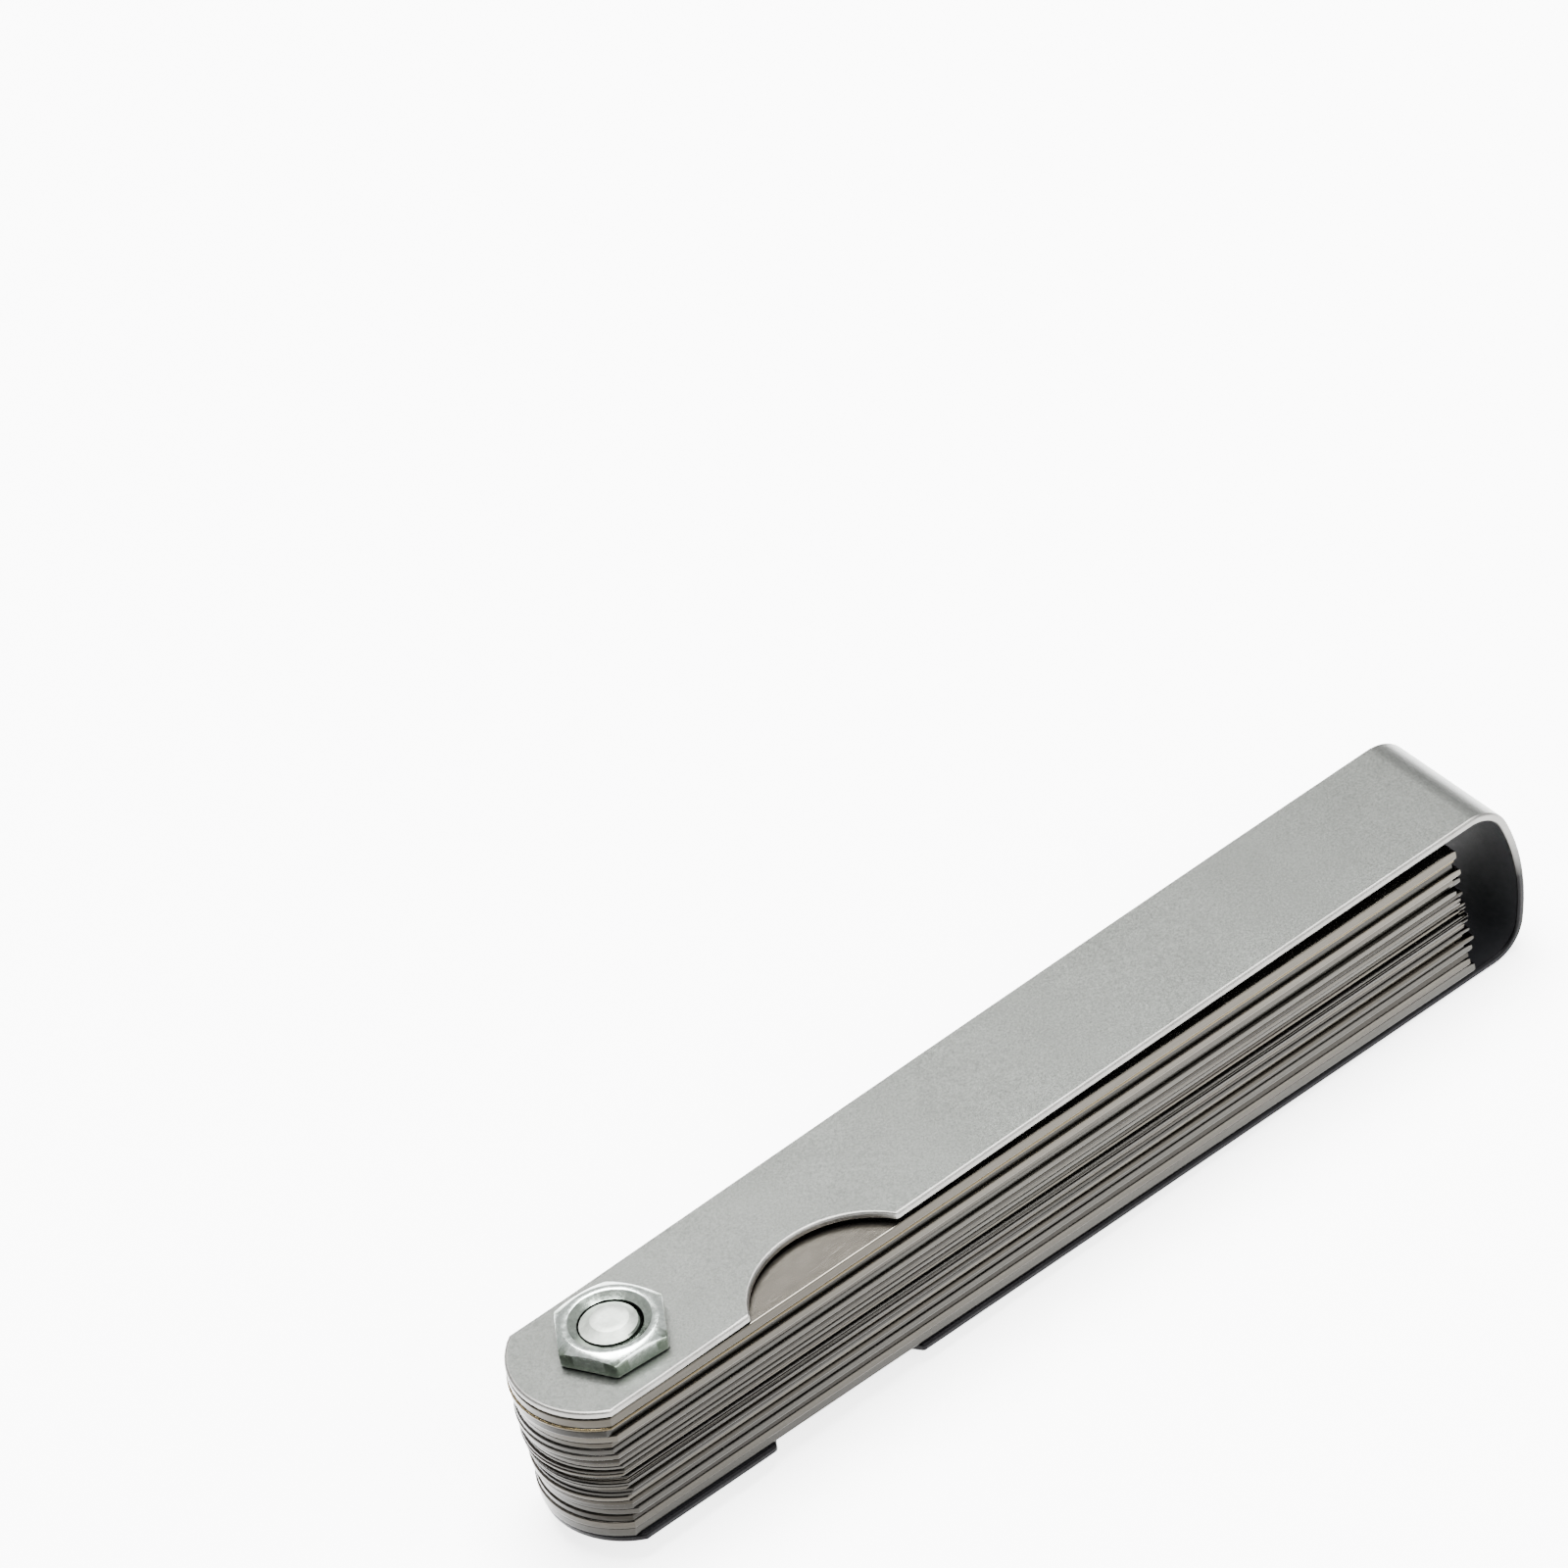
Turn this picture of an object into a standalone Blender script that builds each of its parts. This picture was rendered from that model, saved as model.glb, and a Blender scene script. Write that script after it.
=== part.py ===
"""Folding feeler gauge: a U-shaped sheet case, 32 graded leaves, a pivot screw and its hexagon nut.

Row frame: +Z up through the pivot screw (nut on top), +X from the pivot to the folded end of the
case, -Y the long side with the thumb notches. Z = 0 is the underside of the screw head and the
origin is the middle of the bounding box's base, so the pivot stands at X = PIVOT_X.
"""
import math

import bmesh
import bpy
from mathutils import Matrix, Vector

MM = 0.001

# ---- driving dimensions, in millimetres ----
STRIP_WIDTH = 12.7          # case strip and leaves
STRIP_THICKNESS = 0.7       # case sheet
LEAF_LENGTH = 88.9          # nominal length of a leaf
HEEL_REACH = 8.8            # pivot axis to the middle of the rounded pivot end
HEEL_RISE = 3.4             # height of the arc that cuts the pivot end of plates and leaves
LOWER_SHORT = 0.8           # the fold is a little off the middle: the lower plate ends this much short
BEND_RADIUS = 3.6           # outer radius of the two folds
WEB_RADIUS = 18.0           # the folded end bulges to this radius between its folds
PLATE_SPRING = 0.9          # how much the upper plate rises from the nut to the fold

NOTCH_MIDDLE = 16.0         # pivot axis to the middle of the thumb notch
NOTCH_RADIUS = 8.5
NOTCH_DEPTH = 4.4

SHANK_RADIUS = 2.5          # M5 screw
TIP_CHAMFER = 0.4           # bevel on the screw's end
TIP_PROUD = 0.2             # screw's end above the nut
HEAD_RIM = 2.0              # head's radius beyond the shank's
HEAD_HEIGHT = 1.6
HEAD_EDGE = 0.35            # bevel round the head's lower rim
SLOT_WIDTH = 1.2
SLOT_DEPTH = 0.8

NUT_WALL = 1.75             # shank to the nut's flats: 8.5 mm across flats on a 5 mm screw
NUT_HEIGHT = 1.8
NUT_CHAMFER = 0.45          # height of the corner chamfer
NUT_BORE_CHAMFER = 0.7      # countersink round the bore
NUT_TURN = -4.0             # how the tightened nut happens to point, in degrees

# Leaf thicknesses of the standard set, in thousandths of an inch, and the brass leaf among them.
LEAF_THOUSANDTHS = (
    1.5, 2, 2.5, 3, 4, 5, 6, 7, 8, 9, 10, 11, 12, 13, 14, 15,
    16, 17, 18, 19, 20, 21, 22, 23, 24, 25, 26, 28, 30, 32, 35,
)
BRASS_THOUSANDTHS = 10
BRASS_PLACE = 1             # counted from the top of the stack
MM_PER_THOUSANDTH = 0.0254

# ---- fits, in millimetres ----
SCREW_FIT = 0.1             # radial clearance of the leaves, plates and nut on the shank
LEAF_GAP = 0.015            # between neighbouring leaves
TIP_ROOM = 5.7              # nominal leaf tip to the inside of the folded end
STACK_TOP_GAP = 0.05        # between the stack and the upper plate at the pivot
STACK_BASE_GAP = 0.10       # between the stack and the lower plate
SEAT_GAP = 0.03             # under the nut and above the screw head

# ---- how unevenly the leaves lie ----
LENGTH_SPREAD = 0.45        # leaf lengths differ by up to this much each way
HEEL_SPREAD = 0.15          # and so do their heels
HEEL_DRIFT = 0.7            # the lowest heel also stands this much short of the top one
REST_TURN = -0.16           # mean turn of the folded leaves towards the notch side, in degrees
REST_SPREAD = 0.16          # and how far single leaves depart from it

ROUND_STEPS = 16            # sides of a hole or shank
ARC_STEPS = 10              # sides of the heel arc
NOTCH_STEPS = 12
FOLD_STEPS = 6
SPRING_STEPS = 8

# ---- derived sizes, in millimetres ----
HALF_WIDTH = STRIP_WIDTH / 2
HEEL_RADIUS = (HALF_WIDTH ** 2 + HEEL_RISE ** 2) / (2 * HEEL_RISE)
HOLE_RADIUS = (SHANK_RADIUS + SCREW_FIT) / math.cos(math.pi / ROUND_STEPS)
HEAD_RADIUS = SHANK_RADIUS + HEAD_RIM
CASE_REACH = LEAF_LENGTH - HEEL_REACH + TIP_ROOM + STRIP_THICKNESS
PIVOT_X = (HEEL_REACH - CASE_REACH) / 2


def leaf_order():
    """(thousandths, is_brass) from the top down: thick leaves outside, thin ones guarded inside."""
    ranked = sorted(LEAF_THOUSANDTHS, reverse=True)
    order = [(size, False) for size in ranked[0::2] + ranked[1::2][::-1]]
    order.insert(BRASS_PLACE, (BRASS_THOUSANDTHS, True))
    return order


LEAVES = leaf_order()
STACK_HEIGHT = sum(size for size, _ in LEAVES) * MM_PER_THOUSANDTH + LEAF_GAP * (len(LEAVES) - 1)
LOWER_PLATE_Z = HEAD_HEIGHT + SEAT_GAP
STACK_BASE_Z = LOWER_PLATE_Z + STRIP_THICKNESS + STACK_BASE_GAP
STACK_TOP_Z = STACK_BASE_Z + STACK_HEIGHT
UPPER_PLATE_Z = STACK_TOP_Z + STACK_TOP_GAP
CASE_TOP_Z = UPPER_PLATE_Z + PLATE_SPRING + STRIP_THICKNESS
FOLD_LOW_Z = LOWER_PLATE_Z + BEND_RADIUS
FOLD_HIGH_Z = CASE_TOP_Z - BEND_RADIUS
WEB_LEAN = math.asin((FOLD_HIGH_Z - FOLD_LOW_Z) / 2 / (WEB_RADIUS - BEND_RADIUS))
WEB_X = CASE_REACH - WEB_RADIUS
FOLD_X = WEB_X + (WEB_RADIUS - BEND_RADIUS) * math.cos(WEB_LEAN)


def plate_rise(x):
    """Rise of the upper plate at x: a strip built in at the fold and drawn down flat by the nut."""
    reach = min(max((FOLD_X - x) / FOLD_X, 0.0), 1.0)
    return PLATE_SPRING * (1 - (3 * reach ** 2 - reach ** 3) / 2)


NUT_HALF_FLATS = SHANK_RADIUS + NUT_WALL
NUT_CORNER = NUT_HALF_FLATS / math.cos(math.pi / 6)
NUT_SEAT_Z = UPPER_PLATE_Z + STRIP_THICKNESS + plate_rise(NUT_CORNER) + SEAT_GAP
SCREW_TOP_Z = NUT_SEAT_Z + NUT_HEIGHT + TIP_PROUD


def clear_scene():
    for thing in list(bpy.data.objects):
        bpy.data.objects.remove(thing, do_unlink=True)


def material(name, colour, roughness, metallic=1.0):
    made = bpy.data.materials.new(name)
    made.use_nodes = True
    shader = made.node_tree.nodes["Principled BSDF"]
    shader.inputs["Base Color"].default_value = (*colour, 1.0)
    shader.inputs["Roughness"].default_value = roughness
    shader.inputs["Metallic"].default_value = metallic
    return made


def add_object(name, bm, finish, smooth_angle=None):
    """Turns a bmesh in millimetres round the pivot into a named object in metres on the pivot axis."""
    bmesh.ops.recalc_face_normals(bm, faces=bm.faces)
    bmesh.ops.scale(bm, vec=Vector((MM, MM, MM)), verts=bm.verts)
    mesh = bpy.data.meshes.new(name)
    bm.to_mesh(mesh)
    bm.free()
    if finish:
        mesh.materials.append(finish)
    if smooth_angle:
        mesh.shade_smooth()
        mesh.set_sharp_from_angle(angle=math.radians(smooth_angle))
    thing = bpy.data.objects.new(name, mesh)
    thing.location = (PIVOT_X * MM, 0, 0)
    bpy.context.scene.collection.objects.link(thing)
    return thing


def cut(target, cutter, operation="DIFFERENCE"):
    """Cuts target with cutter by an exact Boolean modifier, and hides the cutter."""
    change = target.modifiers.new(cutter.name, "BOOLEAN")
    change.operation = operation
    change.solver = "EXACT"
    change.object = cutter
    cutter.hide_render = True
    cutter.display_type = "WIRE"


def arc(centre, radius, start, end, steps):
    """Points along a circular arc, its ends included; angles in radians."""
    points = []
    for step in range(steps + 1):
        angle = start + (end - start) * step / steps
        points.append((centre[0] + radius * math.cos(angle), centre[1] + radius * math.sin(angle)))
    return points


def prism(outline, low, high, hole_radius=None):
    """Solid with the given XY outline between two heights, with a round hole on the pivot axis."""
    bm = bmesh.new()
    loops = [outline]
    if hole_radius:
        loops.append(arc((0, 0), hole_radius, 0, 2 * math.pi, ROUND_STEPS)[:-1])
    for loop in loops:
        verts = [bm.verts.new((x, y, low)) for x, y in loop]
        for here, there in zip(verts, verts[1:] + verts[:1]):
            bm.edges.new((here, there))
    bmesh.ops.triangle_fill(bm, edges=bm.edges[:], use_beauty=True)
    raised = bmesh.ops.extrude_face_region(bm, geom=bm.faces[:])
    top = [item for item in raised["geom"] if isinstance(item, bmesh.types.BMVert)]
    bmesh.ops.translate(bm, vec=(0, 0, high - low), verts=top)
    return bm


def turned(profile, steps=ROUND_STEPS):
    """Solid of revolution about the pivot axis from (radius, height) points that start and end on it."""
    bm = bmesh.new()
    verts = [bm.verts.new((radius, 0, height)) for radius, height in profile]
    edges = [bm.edges.new(pair) for pair in zip(verts, verts[1:])]
    bmesh.ops.spin(
        bm, geom=verts + edges, cent=(0, 0, 0), axis=(0, 0, 1),
        angle=2 * math.pi, steps=steps, use_merge=True,
    )
    bmesh.ops.remove_doubles(bm, verts=bm.verts, dist=0.0001)
    return bm


def heel_arc(reach):
    """The rounded pivot end, from the far corner round to the near one."""
    half_angle = math.asin(HALF_WIDTH / HEEL_RADIUS)
    centre = (HEEL_RADIUS - reach, 0)
    return arc(centre, HEEL_RADIUS, math.pi - half_angle, math.pi + half_angle, ARC_STEPS)


def notch_arc():
    """The thumb notch in the near edge, from its pivot end to its far end."""
    centre = (NOTCH_MIDDLE, NOTCH_DEPTH - NOTCH_RADIUS - HALF_WIDTH)
    half_angle = math.acos((NOTCH_RADIUS - NOTCH_DEPTH) / NOTCH_RADIUS)
    middle = math.pi / 2
    return arc(centre, NOTCH_RADIUS, middle + half_angle, middle - half_angle, NOTCH_STEPS)


def lower_end_outline():
    """What is trimmed off the lower plate's pivot end: the space outside its own, nearer heel arc."""
    past = -HEEL_REACH - STRIP_WIDTH
    return [(past, STRIP_WIDTH), (0, STRIP_WIDTH)] + heel_arc(HEEL_REACH - LOWER_SHORT) + [
        (0, -STRIP_WIDTH), (past, -STRIP_WIDTH),
    ]


def plate_outline():
    """Plan of the folded strip: rounded pivot end, thumb notch, and sides that run past the fold."""
    past = CASE_REACH + STRIP_WIDTH
    return heel_arc(HEEL_REACH) + notch_arc() + [(past, -HALF_WIDTH), (past, HALF_WIDTH)]


def folded_side(inset):
    """One face of the strip in side view, (x, z), lower plate first; inset 0 is the outer face."""
    radius = BEND_RADIUS - inset
    pivot_end = -HEEL_REACH - STRIP_WIDTH
    right = math.pi / 2
    web_middle = (WEB_X, (FOLD_LOW_Z + FOLD_HIGH_Z) / 2)
    points = [(pivot_end, LOWER_PLATE_Z + inset)]
    points += arc((FOLD_X, FOLD_LOW_Z), radius, -right, -WEB_LEAN, FOLD_STEPS)
    points += arc(web_middle, WEB_RADIUS - inset, -WEB_LEAN, WEB_LEAN, FOLD_STEPS)[1:-1]
    points += arc((FOLD_X, FOLD_HIGH_Z), radius, WEB_LEAN, right, FOLD_STEPS)
    for step in range(1, SPRING_STEPS + 1):
        x = FOLD_X * (1 - step / SPRING_STEPS)
        points.append((x, CASE_TOP_Z - inset - PLATE_SPRING + plate_rise(x)))
    points.append((pivot_end, CASE_TOP_Z - inset - PLATE_SPRING))
    return points


def make_case(finish):
    """The strip is carried across its width, then trimmed to its plan and drilled."""
    outer = folded_side(0)
    inner = folded_side(STRIP_THICKNESS)
    bm = bmesh.new()
    rims = []
    for y in (-STRIP_WIDTH, STRIP_WIDTH):
        rims.append([[bm.verts.new((x, y, z)) for x, z in side] for side in (outer, inner)])
    last = len(outer) - 1
    for step in range(last):
        for rim in rims:
            bm.faces.new((rim[0][step], rim[0][step + 1], rim[1][step + 1], rim[1][step]))
        for side in (0, 1):
            near, far = rims[0][side], rims[1][side]
            bm.faces.new((near[step], near[step + 1], far[step + 1], far[step]))
    for step in (0, last):
        near, far = rims
        bm.faces.new((near[0][step], near[1][step], far[1][step], far[0][step]))
    case = add_object("case", bm, finish, smooth_angle=25)
    top = SCREW_TOP_Z + STRIP_WIDTH
    plan = add_object("case_plan_cutter", prism(plate_outline(), -STRIP_WIDTH, top), None)
    drill_bm = prism(arc((0, 0), HOLE_RADIUS, 0, 2 * math.pi, ROUND_STEPS)[:-1], -STRIP_WIDTH, top)
    drill = add_object("case_hole_cutter", drill_bm, None)
    end_bm = prism(lower_end_outline(), -STRIP_WIDTH, STACK_BASE_Z)
    end = add_object("lower_end_cutter", end_bm, None)
    cut(case, plan, "INTERSECT")
    cut(case, drill)
    cut(case, end)


def leaf_name(size, is_brass):
    nominal = f"{size * MM_PER_THOUSANDTH:.3f}".replace(".", "_")
    return f"brass_leaf_{nominal}mm" if is_brass else f"leaf_{nominal}mm"


def rest_turn(place):
    """How far a folded leaf happens to be turned, in degrees; no two neighbours agree."""
    return REST_TURN + REST_SPREAD * math.sin(2.1 * place) * math.cos(0.7 * place)


def leaf_outline(place):
    """Plan of one leaf: arc heel, straight sides, square tip; ends vary a little down the stack."""
    drift = HEEL_DRIFT * place / (len(LEAVES) - 1)
    heel = HEEL_REACH - drift + HEEL_SPREAD * math.sin(1.3 * place)
    tip = LEAF_LENGTH - HEEL_REACH + LENGTH_SPREAD * math.sin(2.7 * place + 0.5)
    return heel_arc(heel) + [(tip, -HALF_WIDTH), (tip, HALF_WIDTH)]


def make_leaves(steel, brass):
    """Stacks the leaves from the top down; each is its own object with its origin on the pivot."""
    top = STACK_TOP_Z
    for place, (size, is_brass) in enumerate(LEAVES):
        base = top - size * MM_PER_THOUSANDTH
        bm = prism(leaf_outline(place), base, top, HOLE_RADIUS)
        bmesh.ops.rotate(bm, matrix=Matrix.Rotation(math.radians(rest_turn(place)), 3, "Z"), verts=bm.verts)
        add_object(leaf_name(size, is_brass), bm, brass if is_brass else steel, smooth_angle=25)
        top = base - LEAF_GAP


def make_screw(finish):
    """Slotted low-head machine screw, head down, its chamfered end just above the nut."""
    profile = [
        (0, 0),
        (HEAD_RADIUS - HEAD_EDGE, 0),
        (HEAD_RADIUS, HEAD_EDGE),
        (HEAD_RADIUS, HEAD_HEIGHT),
        (SHANK_RADIUS, HEAD_HEIGHT),
        (SHANK_RADIUS, SCREW_TOP_Z - TIP_CHAMFER),
        (SHANK_RADIUS - TIP_CHAMFER, SCREW_TOP_Z),
        (0, SCREW_TOP_Z),
    ]
    screw = add_object("pivot_screw", turned(profile), finish, smooth_angle=35)
    past = HEAD_RADIUS + SLOT_WIDTH
    corners = [(-past, -SLOT_WIDTH / 2), (past, -SLOT_WIDTH / 2), (past, SLOT_WIDTH / 2), (-past, SLOT_WIDTH / 2)]
    slot = add_object("slot_cutter", prism(corners, -SLOT_DEPTH, SLOT_DEPTH), None)
    cut(screw, slot)


def make_nut(finish):
    """Thin hexagon nut with a chamfered top and a countersunk bore."""
    turn = math.radians(NUT_TURN)
    hexagon = arc((0, 0), NUT_CORNER, turn, turn + 2 * math.pi, 6)[:-1]
    top = NUT_SEAT_Z + NUT_HEIGHT
    nut = add_object("hex_nut", prism(hexagon, NUT_SEAT_Z, top), finish)
    over = STRIP_THICKNESS
    run = NUT_CORNER - NUT_HALF_FLATS
    blank_profile = [
        (0, NUT_SEAT_Z - over),
        (NUT_CORNER + run * over, NUT_SEAT_Z - over),
        (NUT_CORNER + run * over, top - NUT_CHAMFER - NUT_CHAMFER * over),
        (NUT_HALF_FLATS - run * over, top + NUT_CHAMFER * over),
        (0, top + NUT_CHAMFER * over),
    ]
    blank = add_object("nut_chamfer_cutter", turned(blank_profile, 2 * ROUND_STEPS), None)
    mouth = HOLE_RADIUS + NUT_BORE_CHAMFER
    bore_profile = [
        (0, NUT_SEAT_Z - over),
        (HOLE_RADIUS, NUT_SEAT_Z - over),
        (HOLE_RADIUS, top - NUT_BORE_CHAMFER),
        (mouth + over, top + over),
        (0, top + over),
    ]
    bore = add_object("nut_bore_cutter", turned(bore_profile), None)
    cut(nut, blank, "INTERSECT")
    cut(nut, bore)


def main():
    clear_scene()
    satin_nickel = material("satin_nickel_sheet", (0.52, 0.52, 0.50), 0.42)
    ground_steel = material("ground_spring_steel", (0.50, 0.49, 0.46), 0.32)
    leaf_brass = material("rolled_brass", (0.72, 0.55, 0.28), 0.35)
    bright_zinc = material("bright_zinc", (0.74, 0.76, 0.73), 0.22)
    make_case(satin_nickel)
    make_leaves(ground_steel, leaf_brass)
    make_screw(bright_zinc)
    make_nut(bright_zinc)


main()
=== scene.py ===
"""Folding feeler gauge: graded leaves on a screw and nut, in a case folded from one strip."""

import math

import bmesh
import bpy
import numpy as np
from mathutils import Matrix, Vector


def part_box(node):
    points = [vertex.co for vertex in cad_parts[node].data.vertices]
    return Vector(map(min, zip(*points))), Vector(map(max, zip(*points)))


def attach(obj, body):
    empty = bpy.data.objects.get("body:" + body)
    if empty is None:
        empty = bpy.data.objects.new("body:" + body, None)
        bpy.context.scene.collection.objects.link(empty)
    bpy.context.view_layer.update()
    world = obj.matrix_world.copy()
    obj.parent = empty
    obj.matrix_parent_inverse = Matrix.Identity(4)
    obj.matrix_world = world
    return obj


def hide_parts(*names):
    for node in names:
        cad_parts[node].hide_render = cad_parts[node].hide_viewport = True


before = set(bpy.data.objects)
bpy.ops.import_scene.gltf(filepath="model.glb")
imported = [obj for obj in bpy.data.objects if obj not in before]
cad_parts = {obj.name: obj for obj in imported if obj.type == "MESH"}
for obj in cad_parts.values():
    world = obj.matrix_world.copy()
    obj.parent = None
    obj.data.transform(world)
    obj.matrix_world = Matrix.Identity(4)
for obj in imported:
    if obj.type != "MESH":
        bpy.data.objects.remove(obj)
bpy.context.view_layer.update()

# Sizes in millimetres, worked about the pivot axis.
MM = 0.001
STRIP_THICKNESS = 0.7
SHEARED_BEVEL = 0.24        # the rolled-over corners of the sheared strip
HEEL_RISE = 3.4             # how far the rounded pivot end stands out past the straight sides
HEEL_REACH = 8.8            # pivot to the middle of the rounded pivot end
LOWER_SHORT = 0.8           # the lower plate's pivot end stands this much short of the upper one
BEND_RADIUS = 3.6           # outside of the two bends
WEB_RADIUS = 18.0           # bulge of the folded end between them
PLATE_SPRING = 0.9          # the upper plate rises this much from the nut to the fold
NOTCH_MIDDLE = 16.0         # pivot to the middle of the thumb notch
NOTCH_RADIUS = 8.5
NOTCH_DEPTH = 4.4
HOLE_RADIUS = 2.65
SHANK_RADIUS = 2.5
HEAD_EDGE = 0.35
HEAD_HEIGHT = 1.6
SLOT_WIDTH = 1.2
SLOT_DEPTH = 0.8
NUT_WALL = 1.75             # shank to the nut's flats
NUT_TURN = -4.0             # how the tightened nut happens to point, in degrees
NUT_SLOPE = 0.5             # fall of the nut's chamfer for each millimetre outwards
NUT_CROWN = 0.42            # the chamfer starts this far inside the flats
NUT_MOUTH = 0.7             # width of the countersink round the bore
MOUTH_DEPTH = 0.42
THREAD_PITCH = 0.8
THREAD_DEPTH = 0.2
THREAD_END = 0.4            # the thread runs out this far below the screw's end
END_SUNK = 0.12             # the filed end stands this much lower than the CAD's
END_RADIUS = 1.55           # flat of the screw's end, inside its chamfer
END_SLOPE_WIDTH = 0.3       # the chamfer starts this far inside the shank
END_SLOPE_DEPTH = 0.34

# The leaves are counted from the top of the stack.
LEAF_LENGTH = 88.9
BRASS_PLACE = 1
SET_BACK_LEAVES = (2, 4, 5, 8, 12, 22, 25, 27, 29, 30, 31)   # edges that stand a little deeper
SET_BACK = 0.24
WORN_EDGE = 0.12            # largest rounding of a leaf's corners
HEEL_DRIFT = 0.7            # the heels step in by this much from the top leaf to the bottom one
MARK_SIZE = 3.4             # letter size of the etched thickness
MARK_INSET = 3.5            # leaf tip to the end of the etched thickness
MARK_RELIEF = 0.0025        # half the letters' thickness
MARK_LIFT = 0.0028          # leaf face to the middle of the letters

# Shades multiply a finish's colour.
PLAIN = (1.0, 1.0, 1.0)
LOWER_RIM_SHADE = (0.042, 0.042, 0.047)   # painted shade: the rim of the lower plate and of the web's lower part is painted dark
RIM_SHADE_TOP = 13.5        # the rim's painted shade ends at this level
RIM_SHADE_FADE = 5.0
EDGE_SHADE = (0.235, 0.233, 0.228)   # painted shade: the leaves' sheared edges are painted darker than their faces
NUT_SHADE = (0.38, 0.41, 0.36)          # painted shade on the nut's sides, and less so on its bore
# painted shade on the screw's shank and thread, inside the nut
THREAD_SHADE = (0.35, 0.36, 0.34)
HEEL_PAINTED_SHADE = 0.46           # painted shade: the leaves' edges are painted darker by this share at the pivot
HEEL_SHADE_REACH = 55.0

# Edges that turn by more degrees than this shade as corners.
LEAF_CORNER = 12
NUT_CORNER = 24
SCREW_CORNER = 34


def millimetres(node):
    """The node's lowest and highest corners, in millimetres."""
    low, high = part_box(node)
    return np.array(low) / MM, np.array(high) / MM


SCREW_LOW, SCREW_HIGH = millimetres("pivot_screw")
CASE_LOW, CASE_HIGH = millimetres("case")
NUT_LOW, NUT_HIGH = millimetres("hex_nut")
PIVOT_X = (SCREW_LOW[0] + SCREW_HIGH[0]) / 2
HEAD_RADIUS = (SCREW_HIGH[0] - SCREW_LOW[0]) / 2
HALF_WIDTH = CASE_HIGH[1]
CASE_REACH = CASE_HIGH[0] - PIVOT_X
HEEL_RADIUS = (HALF_WIDTH ** 2 + HEEL_RISE ** 2) / (2 * HEEL_RISE)
FOLD_LOW_Z = CASE_LOW[2] + BEND_RADIUS
FOLD_HIGH_Z = CASE_HIGH[2] - BEND_RADIUS
WEB_LEAN = math.asin((FOLD_HIGH_Z - FOLD_LOW_Z) / 2 / (WEB_RADIUS - BEND_RADIUS))
WEB_X = CASE_REACH - WEB_RADIUS
FOLD_X = WEB_X + (WEB_RADIUS - BEND_RADIUS) * math.cos(WEB_LEAN)
LEAF_NODES = sorted(
    (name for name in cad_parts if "leaf" in name),
    key=lambda name: -millimetres(name)[1][2],
)


# ---------------------------------------------------------------- mesh helpers

def add_object(name, data):
    """A new object for this mesh, text, light or camera, in the scene."""
    added = bpy.data.objects.new(name, data)
    bpy.context.scene.collection.objects.link(added)
    return added


def grid_faces(rows, columns, close_rows=False, close_columns=False):
    """Quads between neighbouring points of a grid whose points are numbered row by row."""
    row = np.arange(rows if close_rows else rows - 1)[:, None]
    column = np.arange(columns if close_columns else columns - 1)[None, :]
    next_row = (row + 1) % rows
    next_column = (column + 1) % columns
    corners = (
        row * columns + column,
        row * columns + next_column,
        next_row * columns + next_column,
        next_row * columns + column,
    )
    return np.stack(np.broadcast_arrays(*corners), axis=-1).reshape(-1, 4)


def build(name, patches, finish, body, stands_for, merge=0.0005, outward=None):
    """Joins point grids, given in millimetres about the pivot, into one mesh with outward faces."""
    points = []
    faces = []
    count = 0
    for grid, quads in patches:
        flat = grid.reshape(-1, 3)
        points.append(flat)
        faces.append(quads + count)
        count += len(flat)
    places = (np.concatenate(points) + np.array((PIVOT_X, 0, 0))) * MM
    mesh = bpy.data.meshes.new(name)
    mesh.from_pydata(places.tolist(), [], np.concatenate(faces).tolist())
    bm = bmesh.new()
    bm.from_mesh(mesh)
    bmesh.ops.remove_doubles(bm, verts=bm.verts, dist=merge * MM)
    bmesh.ops.dissolve_degenerate(bm, edges=bm.edges, dist=merge * MM)
    bmesh.ops.recalc_face_normals(bm, faces=bm.faces)
    if outward is not None:
        top_face = max(bm.faces, key=lambda face: face.calc_center_median().dot(outward))
        if top_face.normal.dot(outward) < 0:
            bmesh.ops.reverse_faces(bm, faces=bm.faces)
    bm.to_mesh(mesh)
    bm.free()
    mesh.polygons.foreach_set("use_smooth", np.ones(len(mesh.polygons), dtype=bool))
    mesh.materials.append(finish)
    piece = add_object(name, mesh)
    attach(piece, body)
    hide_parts(stands_for)
    return piece


def sharpen(piece, degrees):
    """Marks the edges that turn by more than this angle, so that flats and arcs shade cleanly."""
    bm = bmesh.new()
    bm.from_mesh(piece.data)
    for edge in bm.edges:
        edge.smooth = edge.calc_face_angle(0.0) < math.radians(degrees)
    bm.to_mesh(piece.data)
    bm.free()


def paint_tone(piece, face_tone, edge_tone, share):
    """Colours every point between the piece's face tone and that tone times its edge tone; the
    tones hold painted shade as well as the parts' own colour.
    """
    count = len(piece.data.vertices)
    face = np.array(face_tone)
    edge = face * np.array(edge_tone)
    colour = np.ones((count, 4))
    colour[:, :3] = face + (edge - face) * share[:, None]
    tone = piece.data.color_attributes.new("tone", "FLOAT_COLOR", "POINT")
    tone.data.foreach_set("color", colour.ravel())


def points_of(piece):
    """The piece's points, in millimetres."""
    flat = np.empty(len(piece.data.vertices) * 3)
    piece.data.vertices.foreach_get("co", flat)
    return flat.reshape(-1, 3) / MM


def reach_of(points):
    """Each point's distance from the pivot axis."""
    return np.hypot(points[:, 0] - PIVOT_X, points[:, 1])


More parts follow.
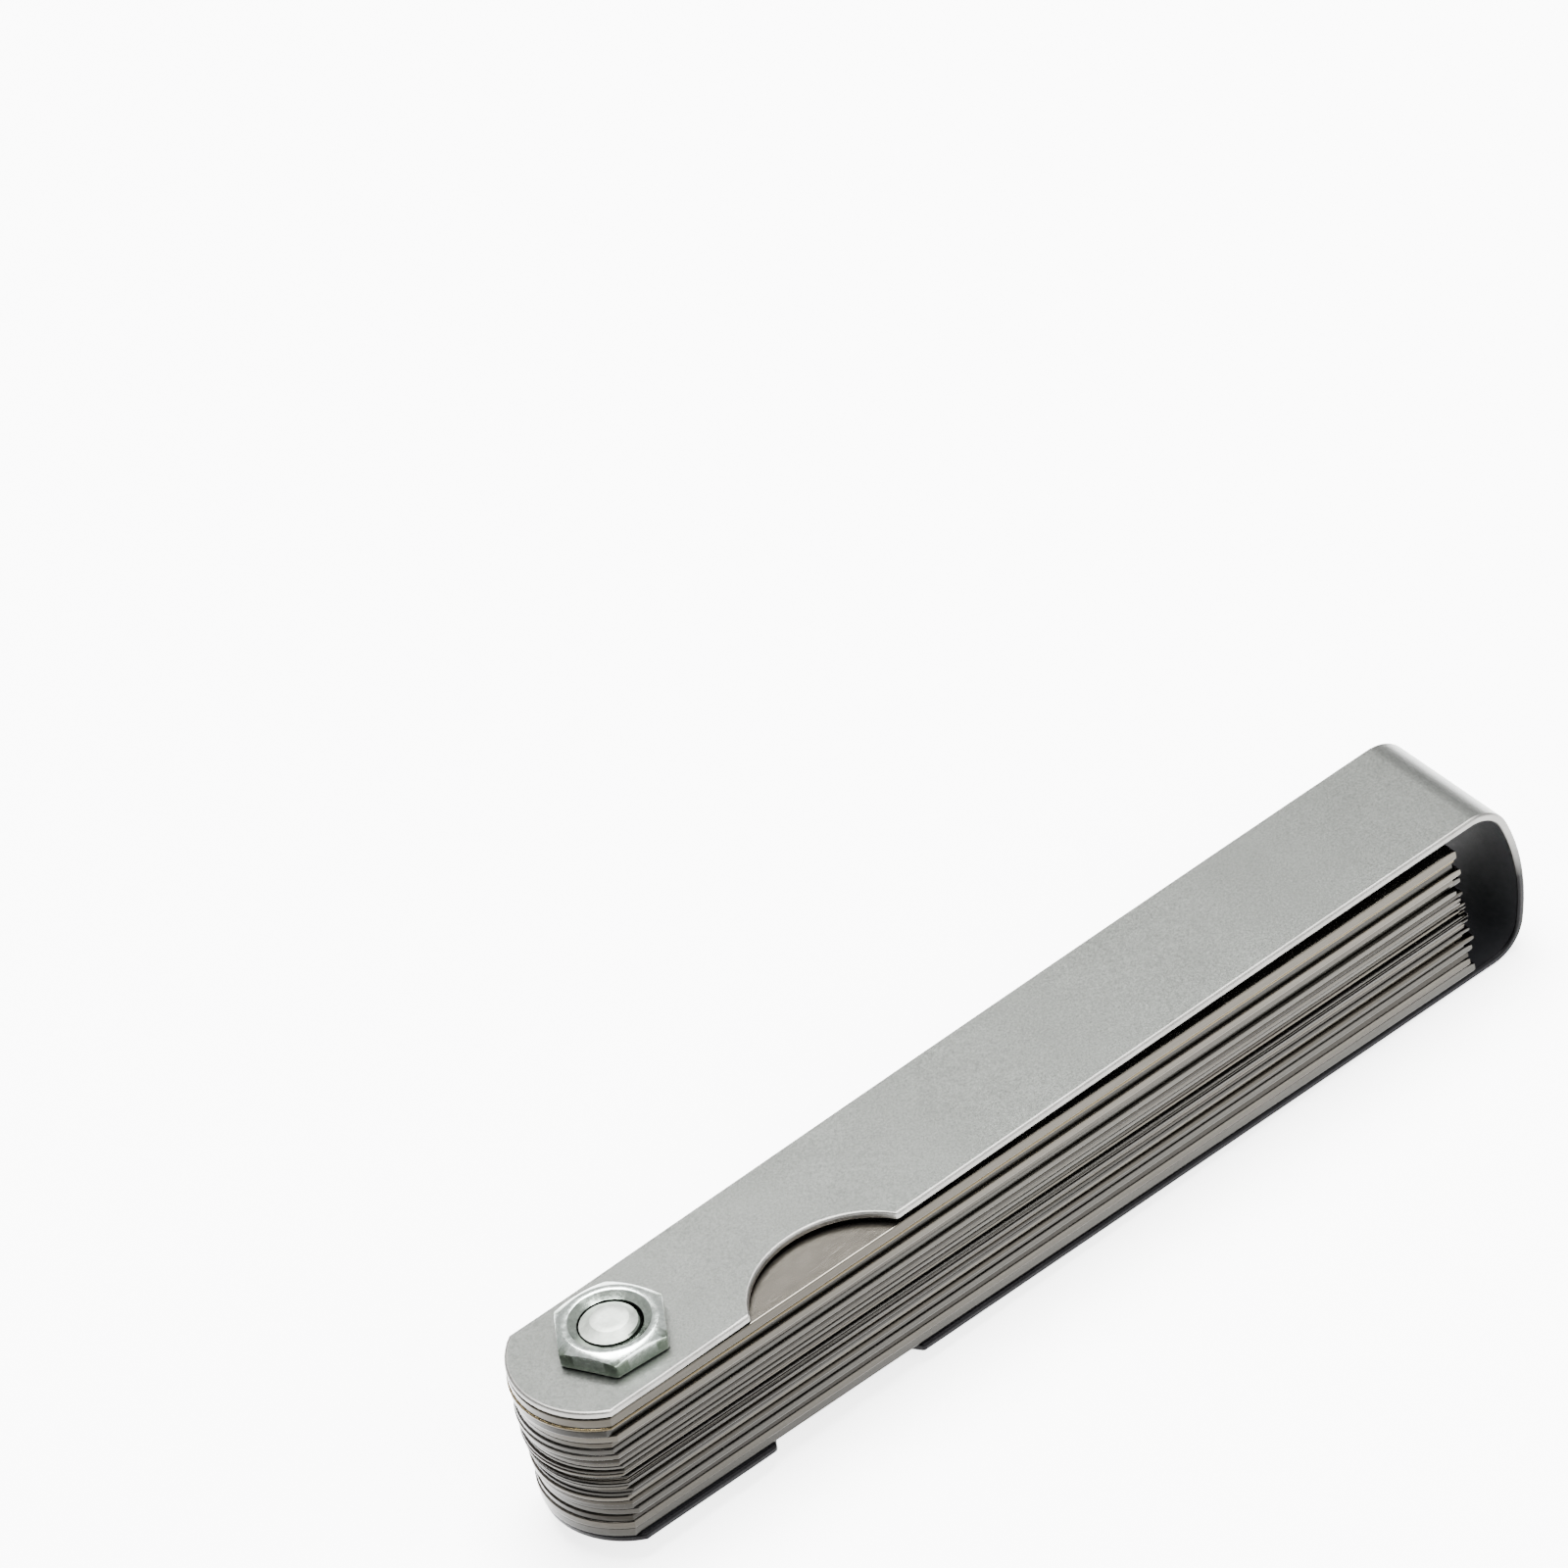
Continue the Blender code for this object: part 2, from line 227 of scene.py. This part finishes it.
def edge_share(piece, low_z, high_z):
    """1 on the worn edge between the two faces, 0 on the faces and in the hole."""
    points = points_of(piece)
    radius = reach_of(points)
    between = (points[:, 2] > low_z + 0.001) & (points[:, 2] < high_z - 0.001)
    return (between & (radius > HOLE_RADIUS + 0.5)).astype(float)


# ---------------------------------------------------------------- finishes

def nodes_of(name):
    """A new material, its node list and its link list."""
    finish = bpy.data.materials.new(name + "_finish")
    finish.use_nodes = True
    return finish, finish.node_tree.nodes, finish.node_tree.links


def grain(nodes, links, scale, detail, roughness=0.6):
    """Noise on object coordinates; unequal scales stretch it into brush marks."""
    place = nodes.new("ShaderNodeTexCoord")
    mapping = nodes.new("ShaderNodeMapping")
    mapping.inputs["Scale"].default_value = scale
    noise = nodes.new("ShaderNodeTexNoise")
    noise.inputs["Scale"].default_value = 1.0
    noise.inputs["Detail"].default_value = detail
    noise.inputs["Roughness"].default_value = roughness
    links.new(place.outputs["Object"], mapping.inputs["Vector"])
    links.new(mapping.outputs["Vector"], noise.inputs["Vector"])
    return noise.outputs["Fac"]


def spread(nodes, links, source, low, high, start=0.3, end=0.7):
    """Spreads a grain's middle range over low to high."""
    ranged = nodes.new("ShaderNodeMapRange")
    ranged.inputs["From Min"].default_value = start
    ranged.inputs["From Max"].default_value = end
    ranged.inputs["To Min"].default_value = low
    ranged.inputs["To Max"].default_value = high
    links.new(source, ranged.inputs["Value"])
    return ranged.outputs["Result"]


def mixed(nodes, links, factor, first, second, blend="MIX"):
    """A colour mix; each side is a colour or another node's output."""
    mix = nodes.new("ShaderNodeMix")
    mix.data_type = "RGBA"
    mix.blend_type = blend
    for socket, value in ((mix.inputs[0], factor), (mix.inputs[6], first), (mix.inputs[7], second)):
        if isinstance(value, bpy.types.NodeSocket):
            links.new(value, socket)
        elif isinstance(value, tuple):
            socket.default_value = value + (1.0,)
        else:
            socket.default_value = value
    return mix.outputs[2]


def metal(name, light, dark, cloud, brush, rough, bump_height,
          tone=False, speck=None, metallic=1.0, specular=0.5):
    """A worn metal: slow clouding between two colours, fine grain in roughness and bump. The
    cloud, brush and speck scales are per metre along X, Y and Z; bump_height is in millimetres."""
    finish, nodes, links = nodes_of(name)
    shader = nodes["Principled BSDF"]
    shader.inputs["Metallic"].default_value = metallic
    shader.inputs["Specular IOR Level"].default_value = specular
    clouding = spread(nodes, links, grain(nodes, links, cloud, 3.0), 0.0, 1.0)
    fine = grain(nodes, links, brush, 5.0, 0.7)
    colour = mixed(nodes, links, clouding, light, dark)
    shade = spread(nodes, links, fine, 0.78, 1.06)
    shade_colour = nodes.new("ShaderNodeCombineColor")
    for channel in ("Red", "Green", "Blue"):
        links.new(shade, shade_colour.inputs[channel])
    colour = mixed(nodes, links, 1.0, colour, shade_colour.outputs["Color"], "MULTIPLY")
    if tone:
        attribute = nodes.new("ShaderNodeAttribute")
        attribute.attribute_name = "tone"
        colour = mixed(nodes, links, 1.0, colour, attribute.outputs["Color"], "MULTIPLY")
    if speck:
        spots = spread(nodes, links, grain(nodes, links, speck, 4.0), 0.0, 1.0, 0.64, 0.84)
        stained = tuple(value * 0.82 for value in dark)
        colour = mixed(nodes, links, spots, colour, stained)
    links.new(colour, shader.inputs["Base Color"])
    links.new(spread(nodes, links, fine, rough[0], rough[1]), shader.inputs["Roughness"])
    bump = nodes.new("ShaderNodeBump")
    bump.inputs["Strength"].default_value = 1.0
    bump.inputs["Distance"].default_value = bump_height * MM
    links.new(fine, bump.inputs["Height"])
    links.new(bump.outputs["Normal"], shader.inputs["Normal"])
    return finish


SLOW_CLOUD = (120, 120, 120)
QUICK_CLOUD = (900, 900, 900)
LONG_CLOUD = (60, 160, 900)
EVEN_GRAIN = (5200, 5200, 5200)
GRINDING = (420, 16000, 16000)      # marks drawn out along the leaves

satin_nickel = metal(
    "satin_nickel_sheet", (0.137, 0.143, 0.133), (0.120, 0.125, 0.116), SLOW_CLOUD,
    EVEN_GRAIN, (0.28, 0.38), 0.004, speck=(1100, 1100, 1100),
)
ground_steel = metal(
    "ground_spring_steel", (0.170, 0.161, 0.143), (0.146, 0.138, 0.122), LONG_CLOUD,
    GRINDING, (0.18, 0.28), 0.0012, tone=True,
)
# Painted shade: the strip's inner face is the same sheet as its outside, painted near black and
# matt.
shade_painted_inside = metal(
    "shade_painted_inside_sheet", (0.008, 0.008, 0.009), (0.006, 0.006, 0.007), SLOW_CLOUD,
    EVEN_GRAIN, (0.5, 0.6), 0.004, metallic=0.0, specular=0.08,
)
sheared_rim = metal(
    "sheared_sheet_rim", (0.175, 0.172, 0.164), (0.130, 0.127, 0.120), (300, 300, 300),
    (260, 9000, 5000), (0.35, 0.5), 0.006, tone=True,
)
filed_end = metal(
    "filed_screw_end", (0.40, 0.425, 0.39), (0.28, 0.30, 0.27), QUICK_CLOUD,
    (3000, 9000, 3000), (0.5, 0.62), 0.004,
)
etched_mark = metal(
    "etched_mark", (0.020, 0.020, 0.021), (0.012, 0.012, 0.013), QUICK_CLOUD,
    EVEN_GRAIN, (0.6, 0.75), 0.001,
)
leaf_brass = metal(
    "rolled_brass", (0.36, 0.28, 0.155), (0.31, 0.245, 0.135), LONG_CLOUD,
    GRINDING, (0.18, 0.28), 0.0012, tone=True,
)
bright_zinc = metal(
    "bright_zinc", (0.57, 0.61, 0.575), (0.385, 0.44, 0.405), (420, 420, 420),
    (2600, 2600, 2600), (0.14, 0.26), 0.003, tone=True,
)


# ---------------------------------------------------------------- plan shapes

def plan_reach(angles, half_width, tip, heel):
    """Distance from the pivot to the plan's edge in each direction: the nearest of the two sides,
    the square tip, and the heel's circle, whose centre lies on the long axis."""
    sine = np.sin(angles)
    cosine = np.cos(angles)
    side = half_width / np.maximum(np.abs(sine), 1e-9)
    end = np.where(cosine > 1e-9, tip / np.maximum(cosine, 1e-9), np.inf)
    centre = HEEL_RADIUS - heel
    inside = np.maximum(HEEL_RADIUS ** 2 - (centre * sine) ** 2, 0)
    circle = centre * cosine + np.sqrt(inside)
    backward = np.where(cosine < 0, circle, np.inf)
    return np.minimum(np.minimum(side, end), backward)


def plan_angles(half_width, tip, heel, steps=72, tip_steps=6):
    """Even directions round the pivot, with the plan's four corners and the tip's edge added."""
    heel_start = heel - HEEL_RADIUS + math.sqrt(HEEL_RADIUS ** 2 - half_width ** 2)
    corner = math.atan2(half_width, tip)
    heel_corner = math.atan2(half_width, -heel_start)
    even = np.linspace(-math.pi, math.pi, steps, endpoint=False)
    across = np.arctan2(np.linspace(-half_width, half_width, tip_steps + 1), tip)
    even = even[np.abs(even) > corner + 0.02]
    even = even[np.abs(np.abs(even) - heel_corner) > 0.03]
    return np.sort(np.concatenate((even, across, (-heel_corner, heel_corner))))


def rest_turn(place):
    """How far a folded leaf happens to be turned, in degrees."""
    return -0.16 + 0.16 * math.sin(2.1 * place) * math.cos(0.7 * place)


def leaf_tone(place):
    """Colour of one leaf's faces beside its neighbours: lighter or darker, warmer or cooler."""
    light = 0.92 + 0.08 * math.sin(2.3 * place + 0.8)
    warm = 0.03 * math.sin(1.7 * place + 2.0)
    return light * (1 + warm), light, light * (1 - 1.6 * warm)


def edge_tone(place):
    """Colour of one leaf's sheared edge: EDGE_SHADE paints shade on it, and no two neighbours took
    the shear alike.
    """
    light = 1.0 + 0.42 * math.sin(2.3 * place + 0.8) + 0.22 * math.sin(5.1 * place)
    return tuple(light * value for value in EDGE_SHADE)


def heel_painted_shade(piece):
    """Painted shade: every leaf's edge is painted darkest round the pivot, lighter along the leaf.
    """
    along = points_of(piece)[:, 0] - PIVOT_X
    return 1 - HEEL_PAINTED_SHADE * np.clip(1 - along / HEEL_SHADE_REACH, 0, 1)


# ---------------------------------------------------------------- leaves

def make_leaf(place, node):
    """A flat ring between the screw hole and the leaf's plan. Its section is carried round the
    pivot: up the hole, out along the top, round the worn edge, and back along the underside."""
    low, high = millimetres(node)
    thickness = high[2] - low[2]
    edge = min(0.35 * thickness, WORN_EDGE)
    back = 0.06 + 0.06 * math.sin(3.7 * place) + (SET_BACK if place in SET_BACK_LEAVES else 0)
    heel = HEEL_REACH - HEEL_DRIFT * place / (len(LEAF_NODES) - 1) + 0.15 * math.sin(1.3 * place)
    tip = LEAF_LENGTH - HEEL_REACH + 0.45 * math.sin(2.7 * place + 0.5)
    half_width = HALF_WIDTH - back
    angles = plan_angles(half_width, tip, heel)
    rings = [np.full(len(angles), HOLE_RADIUS), np.full(len(angles), HOLE_RADIUS)]
    levels = [low[2], high[2]]
    corner = [math.pi / 2 * step / 3 for step in range(4)]
    for face, inwards, turn in ((high[2], -edge, corner), (low[2], edge, corner[::-1])):
        for part in turn:
            shrink = edge * (1 - math.sin(part))
            rings.append(plan_reach(angles, half_width - shrink, tip - shrink, heel - shrink))
            levels.append(face + inwards * (1 - math.cos(part)))
    radius = np.stack(rings)
    level = np.broadcast_to(np.array(levels)[:, None], radius.shape)
    swing = math.radians(rest_turn(place))
    grid = np.stack((
        radius * np.cos(angles + swing),
        radius * np.sin(angles + swing),
        level,
    ), axis=-1)
    faces = grid_faces(*radius.shape, close_rows=True, close_columns=True)
    finish = leaf_brass if place == BRASS_PLACE else ground_steel
    piece = build(node + "_blade", [(grid, faces)], finish, node, node, merge=0.0002)
    sharpen(piece, LEAF_CORNER)
    # Painted shade on the edges: darker than the faces, and darker still towards the pivot.
    edges = np.outer(heel_painted_shade(piece), edge_tone(place))
    paint_tone(piece, leaf_tone(place), edges, edge_share(piece, low[2], high[2]))


def make_size_mark(place, node):
    """The leaf's thickness, etched near its tip in millimetres: letters a few microns thick."""
    high = millimetres(node)[1]
    size = node.split("leaf_")[1].removesuffix("mm").replace("_", ".")
    text = bpy.data.curves.new(node + "_mark_text", "FONT")
    text.body = size
    text.size = MARK_SIZE
    text.align_x = "RIGHT"
    text.align_y = "CENTER"
    text.extrude = MARK_RELIEF
    text.resolution_u = 4
    holder = add_object(node + "_mark_text", text)
    letters = bpy.data.meshes.new_from_object(holder)
    bpy.data.objects.remove(holder)
    swing = Matrix.Rotation(math.radians(rest_turn(place)), 4, "Z")
    spot = Matrix.Translation((LEAF_LENGTH - HEEL_REACH - MARK_INSET, 0, high[2] + MARK_LIFT))
    letters.transform(Matrix.Translation((PIVOT_X, 0, 0)) @ swing @ spot)
    letters.transform(Matrix.Scale(MM, 4))
    letters.materials.clear()
    letters.materials.append(etched_mark)
    piece = add_object(node + "_size_mark", letters)
    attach(piece, node)


for leaf_place, leaf_node in enumerate(LEAF_NODES):
    make_leaf(leaf_place, leaf_node)
    make_size_mark(leaf_place, leaf_node)


# ---------------------------------------------------------------- case

def plate_rise(x):
    """Lift of the upper plate over its height at the nut: it bends as a strip held at the fold."""
    reach = np.clip((FOLD_X - x) / FOLD_X, 0, 1)
    return PLATE_SPRING * (1 - (3 * reach ** 2 - reach ** 3) / 2)


def near_edge(x):
    """The near side of the plan: straight, with the thumb notch's circle taken out of it."""
    centre = NOTCH_DEPTH - NOTCH_RADIUS - HALF_WIDTH
    inside = np.maximum(NOTCH_RADIUS ** 2 - (x - NOTCH_MIDDLE) ** 2, 0)
    return np.maximum(-HALF_WIDTH, centre + np.sqrt(inside))


def make_case():
    """The strip's outer face as stations along its folded side view, from the upper plate round
    the web to the lower plate, and a ring of faces round each screw hole. Solidify gives it its
    thickness inwards."""
    root = 8.0      # the rings round the holes end here, and the strip's own stations start
    half_notch = math.sqrt(NOTCH_RADIUS ** 2 - (NOTCH_RADIUS - NOTCH_DEPTH) ** 2)
    notch_turn = np.linspace(-1, 1, 25) * math.asin(half_notch / NOTCH_RADIUS)
    notch_x = NOTCH_MIDDLE + NOTCH_RADIUS * np.sin(notch_turn)
    plate_x = np.concatenate(([root], notch_x, np.linspace(notch_x[-1], FOLD_X, 30)[1:]))
    fold_turn = np.linspace(math.pi / 2, WEB_LEAN, 15)[1:]
    web_turn = np.linspace(WEB_LEAN, -WEB_LEAN, 13)[1:-1]
    upper_z = CASE_HIGH[2] - PLATE_SPRING + plate_rise(plate_x)
    side_x = np.concatenate((
        plate_x,
        FOLD_X + BEND_RADIUS * np.cos(fold_turn),
        WEB_X + WEB_RADIUS * np.cos(web_turn),
        FOLD_X + BEND_RADIUS * np.cos(-fold_turn[::-1]),
        plate_x[::-1],
    ))
    side_z = np.concatenate((
        upper_z,
        FOLD_HIGH_Z + BEND_RADIUS * np.sin(fold_turn),
        (FOLD_LOW_Z + FOLD_HIGH_Z) / 2 + WEB_RADIUS * np.sin(web_turn),
        FOLD_LOW_Z - BEND_RADIUS * np.sin(fold_turn[::-1]),
        np.full(len(plate_x), CASE_LOW[2]),
    ))
    patches = []
    upper_end = (HEEL_REACH, CASE_HIGH[2] - PLATE_SPRING)
    lower_end = (HEEL_REACH - LOWER_SHORT, CASE_LOW[2])
    for heel, level in (upper_end, lower_end):
        angles = plan_angles(HALF_WIDTH, root, heel, steps=96, tip_steps=10)
        edge = plan_reach(angles, HALF_WIDTH, root, heel)
        share = np.array((0, 0.25, 0.6, 1.0))[:, None]
        radius = HOLE_RADIUS + (edge - HOLE_RADIUS) * share
        x = radius * np.cos(angles)
        lift = plate_rise(x) if level > FOLD_HIGH_Z else np.zeros_like(x)
        ring = np.stack((x, radius * np.sin(angles), level + lift), axis=-1)
        patches.append((ring, grid_faces(*radius.shape, close_columns=True)))
    columns = np.linspace(0, 1, 11)[None, :]
    start = near_edge(side_x)[:, None]
    y = start + (HALF_WIDTH - start) * columns
    strip = np.stack((
        np.broadcast_to(side_x[:, None], y.shape),
        y,
        np.broadcast_to(side_z[:, None], y.shape),
    ), axis=-1)
    patches.append((strip, grid_faces(*y.shape)))
    case = build(
        "folded_case", patches, satin_nickel, "case", "case",
        merge=0.002, outward=Vector((0, 0, 1)),
    )
    # Painted shade: the strip's rim is painted darker towards the bottom; only the rim's finish
    # shows this tone.
    height = points_of(case)[:, 2]
    low_share = np.clip((RIM_SHADE_TOP - height) / RIM_SHADE_FADE, 0, 1)
    paint_tone(case, PLAIN, LOWER_RIM_SHADE, low_share)
    wall = case.modifiers.new("wall", "SOLIDIFY")
    wall.thickness = STRIP_THICKNESS * MM
    wall.offset = -1
    wall.use_even_offset = True
    wall.use_quality_normals = True
    case.data.materials.append(shade_painted_inside)
    case.data.materials.append(sheared_rim)
    # The inner faces take the finish painted near black for shade; the rim takes the rim's finish.
    wall.material_offset = 1
    wall.material_offset_rim = 2
    rim = case.modifiers.new("rim", "BEVEL")
    rim.width = SHEARED_BEVEL * MM
    rim.segments = 3
    rim.limit_method = "ANGLE"
    rim.angle_limit = math.radians(50)
    rim.material = 2
    rim.harden_normals = True


make_case()


# ---------------------------------------------------------------- nut and screw

def make_nut():
    """A hexagon ring: radius is a function of direction, soft at the corners, and the top edge is
    where that hexagon meets a cone; the bore opens in a countersink."""
    flats = SHANK_RADIUS + NUT_WALL
    angles = np.linspace(0, 2 * math.pi, 144, endpoint=False)
    normals = math.radians(NUT_TURN + 30) + np.arange(6) * math.pi / 3
    facing = np.maximum(np.cos(angles[None, :] - normals[:, None]), 0)
    hexagon = flats / np.power(np.sum(facing ** 90, axis=0), 1 / 90)
    top = NUT_HIGH[2]
    seat = NUT_LOW[2]
    crown = flats - NUT_CROWN
    drop = (hexagon - crown) * NUT_SLOPE
    same = np.ones_like(angles)
    mouth = HOLE_RADIUS + NUT_MOUTH
    rows = [
        (HOLE_RADIUS * same, (seat + 0.05) * same),
        (HOLE_RADIUS * same, (top - MOUTH_DEPTH) * same),
        ((mouth - 0.07) * same, (top - 0.07) * same),
        ((mouth - 0.02) * same, (top - 0.025) * same),
        ((mouth + 0.05) * same, top * same),
        ((crown - 0.05) * same, top * same),
        ((crown + 0.03) * same, (top - 0.02) * same),
        (hexagon - 0.05, top - drop + 0.02),
        (hexagon - 0.01, top - drop - 0.02),
        (hexagon, top - drop - 0.08),
        (hexagon, (seat + 0.12) * same),
        (hexagon - 0.04, (seat + 0.03) * same),
        (hexagon - 0.12, seat * same),
        ((HOLE_RADIUS + 0.08) * same, seat * same),
    ]
    radius = np.stack([row[0] for row in rows])
    level = np.stack([row[1] for row in rows])
    grid = np.stack((radius * np.cos(angles), radius * np.sin(angles), level), axis=-1)
    faces = grid_faces(*radius.shape, close_rows=True, close_columns=True)
    nut = build("thin_hexagon_nut", [(grid, faces)], bright_zinc, "case", "hex_nut")
    sharpen(nut, NUT_CORNER)
    points = points_of(nut)
    reach = reach_of(points)
    # Painted shade: the nut's sides below the chamfer, and less so its bore, are painted darker.
    bore = (reach < mouth - 0.04).astype(float)
    sides = ((points[:, 2] < top - 0.4) & (reach > mouth)).astype(float)
    paint_tone(nut, PLAIN, NUT_SHADE, np.maximum(0.7 * bore, sides))


def make_screw():
    """The head's underside is a disc of chords beside the slot, whose stations are stepped at the
    slot's walls; its rim is carried up as rings to the shank, the thread and the chamfered end."""
    rim = HEAD_RADIUS - HEAD_EDGE
    wall = SLOT_WIDTH / 2
    even = -rim * np.cos(np.linspace(0, math.pi, 49))
    outside = even[np.abs(even) > wall + 0.05]
    inner = np.linspace(-wall, wall, 7)
    stations = np.concatenate((outside[outside < 0], [-wall], inner, [wall], outside[outside > 0]))
    slotted = np.zeros(len(stations))
    first = int(np.sum(outside < 0)) + 1
    slotted[first:first + len(inner)] = 1
    chord = np.sqrt(np.maximum(rim ** 2 - stations ** 2, 0))
    across = np.linspace(-1, 1, 15)[None, :]
    floor_x = chord[:, None] * across
    floor_y = np.broadcast_to(stations[:, None], floor_x.shape)
    floor_z = np.broadcast_to((slotted * SLOT_DEPTH)[:, None], floor_x.shape)
    underside = np.stack((floor_x, floor_y, floor_z), axis=-1)
    loop_y = np.concatenate((stations, stations[::-1]))
    loop_x = np.concatenate((chord, -chord[::-1]))
    in_slot = np.concatenate((slotted, slotted[::-1]))
    angles = np.arctan2(loop_y, loop_x)
    end = SCREW_HIGH[2] - END_SUNK
    thread_levels = np.arange(NUT_LOW[2] - 1.0, end - THREAD_END + 0.001, THREAD_PITCH / 8)
    rings = [(rim, 0.0), (HEAD_RADIUS - 0.1, HEAD_EDGE * 0.62), (HEAD_RADIUS, HEAD_EDGE + 0.1),
             (HEAD_RADIUS, SLOT_DEPTH + 0.1), (HEAD_RADIUS, HEAD_HEIGHT - 0.12),
             (HEAD_RADIUS - 0.12, HEAD_HEIGHT), (SHANK_RADIUS, HEAD_HEIGHT)]
    rings += [(SHANK_RADIUS, level) for level in np.linspace(HEAD_HEIGHT, thread_levels[0], 5)[1:]]
    radius = [np.full(len(angles), size) for size, level in rings]
    level = [np.maximum(height, in_slot * SLOT_DEPTH) for size, height in rings]
    for height in thread_levels[1:]:
        phase = height / THREAD_PITCH - angles / (2 * math.pi)
        groove = np.abs(2 * (phase - np.floor(phase)) - 1)
        radius.append(SHANK_RADIUS - THREAD_DEPTH * groove)
        level.append(np.full(len(angles), height))
    cap = [(SHANK_RADIUS - END_SLOPE_WIDTH, end - END_SLOPE_DEPTH)]
    for part in np.linspace(0, math.pi / 2, 4):
        left = 1 - math.sin(part)
        cap.append((END_RADIUS + 0.1 * left, end - 0.06 * left))
    cap += [(END_RADIUS * share, end) for share in (0.6, 0.25, 0.0)]
    radius += [np.full(len(angles), size) for size, height in cap]
    level += [np.full(len(angles), height) for size, height in cap]
    radius = np.stack(radius)
    level = np.stack(level)
    body = np.stack((radius * np.cos(angles), radius * np.sin(angles), level), axis=-1)
    patches = [
        (underside, grid_faces(*floor_x.shape)),
        (body, grid_faces(*radius.shape, close_columns=True)),
    ]
    screw = build("slotted_pivot_screw", patches, bright_zinc, "case", "pivot_screw", merge=0.001)
    sharpen(screw, SCREW_CORNER)
    points = points_of(screw)
    reach = reach_of(points)
    # Painted shade: the shank and its thread, up to the end's chamfer, are painted darker.
    thread = (reach > SHANK_RADIUS - END_SLOPE_WIDTH - 0.01) & (points[:, 2] > HEAD_HEIGHT + 0.1)
    paint_tone(screw, PLAIN, THREAD_SHADE, thread.astype(float))
    screw.data.materials.append(filed_end)
    for face in screw.data.polygons:
        if face.normal.z > 0.8 and face.center.z > (NUT_HIGH[2] - 0.4) * MM:
            face.material_index = 1


make_nut()
make_screw()


# ---------------------------------------------------------------- floor, lights and camera

AIM = (0, 0, 0.008)         # the lights face this point, in metres
FLOOR_SPAN = 3000.0
FLOOR_DROP = 0.02           # the floor stays this much clear of the metal
CAMERA_TURN = 31.48         # degrees round from the near side towards the pivot end
CAMERA_LIFT = 41.0          # degrees above the level
CAMERA_ROLL = 11.63
CAMERA_ANCHOR = (38.0, 0, 9.0)          # from the foot of the pivot axis
ANCHOR_RIGHT = 17.06        # where the anchor shows, to the right of the middle of the view
ANCHOR_DOWN = 28.46
CAMERA_DISTANCE = 1527.14


def make_floor():
    """A pale plane that touches the screw head's edge and the bottom of the folded end. It gives
    off a little light of its own, so that it stays white round the gauge."""
    foot_x = PIVOT_X + HEAD_RADIUS - HEAD_EDGE
    fold_x = PIVOT_X + FOLD_X
    slope = math.atan2(CASE_LOW[2], fold_x - foot_x)
    steps = np.linspace(-FLOOR_SPAN, FLOOR_SPAN, 3)
    x, y = np.meshgrid(steps, steps, indexing="ij")
    z = (x - foot_x) * math.tan(slope) - FLOOR_DROP
    points = np.stack((x, y, z), axis=-1).reshape(-1, 3) * MM
    mesh = bpy.data.meshes.new("studio_floor")
    mesh.from_pydata(points.tolist(), [], grid_faces(3, 3)[:, ::-1].tolist())
    floor = add_object("studio_floor", mesh)
    paint, nodes, _ = nodes_of("pale_floor")
    shader = nodes["Principled BSDF"]
    shader.inputs["Base Color"].default_value = (0.95, 0.95, 0.95, 1)
    shader.inputs["Emission Color"].default_value = (1, 1, 1, 1)
    shader.inputs["Emission Strength"].default_value = 3.2
    shader.inputs["Roughness"].default_value = 0.9
    shader.inputs["Specular IOR Level"].default_value = 0.1
    mesh.materials.append(paint)


def make_light(name, aim, direction, distance, size, power):
    """A square soft light that faces the aim point."""
    data = bpy.data.lights.new(name, "AREA")
    data.shape = "RECTANGLE"
    data.size = size[0]
    data.size_y = size[1]
    data.energy = power
    lamp = add_object(name, data)
    towards = Vector(direction).normalized()
    turn = towards.to_track_quat("Z", "Y").to_matrix().to_4x4()
    lamp.matrix_world = Matrix.Translation(Vector(aim) + towards * distance) @ turn


def make_camera():
    """A long lens, looking down on the near side, turned a little about its own axis."""
    turn = math.radians(CAMERA_TURN)
    lift = math.radians(CAMERA_LIFT)
    roll = math.radians(CAMERA_ROLL)
    level_right = Vector((math.cos(turn), -math.sin(turn), 0))
    away = Vector((-math.sin(turn), -math.cos(turn), 0))
    level_down = away * math.sin(lift) - Vector((0, 0, math.cos(lift)))
    forward = level_right.cross(level_down)
    right = math.cos(roll) * level_right + math.sin(roll) * level_down
    down = math.cos(roll) * level_down - math.sin(roll) * level_right
    anchor = Vector((PIVOT_X, 0, 0)) + Vector(CAMERA_ANCHOR)
    place = anchor - ANCHOR_RIGHT * right - ANCHOR_DOWN * down - CAMERA_DISTANCE * forward
    data = bpy.data.cameras.new("camera")
    data.lens = 450
    data.sensor_width = 36
    data.clip_start = 0.1
    data.clip_end = 20
    camera = add_object("camera", data)
    axes = Matrix((right, -down, -forward)).transposed().to_4x4()
    camera.matrix_world = Matrix.Translation(place * MM) @ axes
    bpy.context.scene.camera = camera


def make_world(strength):
    """Even white light from all round."""
    world = bpy.data.worlds.new("studio")
    world.use_nodes = True
    background = world.node_tree.nodes["Background"]
    background.inputs["Color"].default_value = (1, 1, 1, 1)
    background.inputs["Strength"].default_value = strength
    bpy.context.scene.world = world


make_floor()
make_camera()
make_light("overhead_softbox", AIM, (0.12, 0.18, 1.0), 0.9, (0.7, 0.7), 62.0)
make_light("near_fill", AIM, (0.25, -0.9, 0.8), 0.9, (0.6, 0.6), 10.0)
make_world(1.1)
